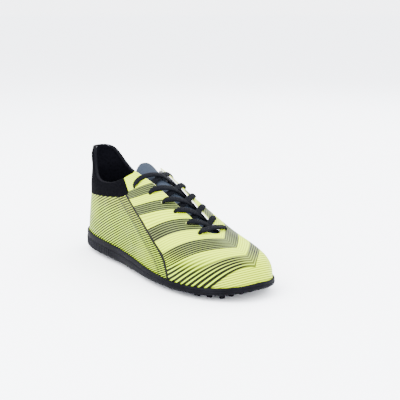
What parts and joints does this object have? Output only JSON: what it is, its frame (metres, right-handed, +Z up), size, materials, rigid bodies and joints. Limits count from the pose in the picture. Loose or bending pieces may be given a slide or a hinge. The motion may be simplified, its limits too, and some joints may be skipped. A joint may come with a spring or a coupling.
{
  "type": "soccer cleat",
  "caption": "Low laced turf football boot for the right foot, with a knitted ankle collar, a printed one-piece upper and a rubber cupsole with small nubs.",
  "frame": {"origin": "on the ground under the middle of the outsole's bounding box", "axes": "+X from heel to toe, +Z up, +Y to the medial side of this right boot"},
  "size_m": [0.289, 0.1078, 0.1213],
  "materials": {
    "sole_rubber": "matte moulded rubber",
    "midsole_foam": "fine foam",
    "board": "stiff non-woven board",
    "thread": "overlock thread",
    "sock_foam": "open foam",
    "sock_fabric": "brushed knit",
    "upper_print": "fluorescent yellow with dark printed lines",
    "lining_white": "mesh lining",
    "stiff_plastic": "thermoformed sheet",
    "backing_white": "white backing with a cut edge",
    "collar_knit": "black knit",
    "collar_inside": "black brushed knit",
    "collar_rim": "black welded rim",
    "tongue_face": "slate grey smooth textile",
    "tongue_inside": "brushed knit",
    "lace_cord": "braided cord",
    "aglet_film": "clear-coated film"
  },
  "bodies": {
    "shoe": {"outsole": "sole_rubber", "midsole": "midsole_foam", "strobel_board": "board", "strobel_stitch": "thread", "sockliner_foam": "sock_foam", "sockliner_cover": "sock_fabric", "upper": "upper_print", "upper_lining": "lining_white", "toe_puff": "board", "heel_counter": "stiff_plastic", "eyestay_backing_lateral": "backing_white", "eyestay_backing_medial": "backing_white", "collar": "collar_knit", "collar_foam": "sock_foam", "collar_lining": "collar_inside", "collar_binding": "collar_rim", "lace": "lace_cord", "lace_tail_lateral": "lace_cord", "lace_tail_medial": "lace_cord", "aglet_lateral": "aglet_film", "aglet_medial": "aglet_film"},
    "tongue": {"tongue_outer": "tongue_face", "tongue_foam": "sock_foam", "tongue_lining": "tongue_inside"}
  },
  "joints": [
    {"name": "tongue_tilt", "type": "hinge", "parent": "shoe", "child": "tongue", "pos_m": [0.088, 0, 0.049], "axis": [0, 1, 0], "range_deg": [-10, 0], "stiffness_Nm_per_rad": 0.05}
  ]
}
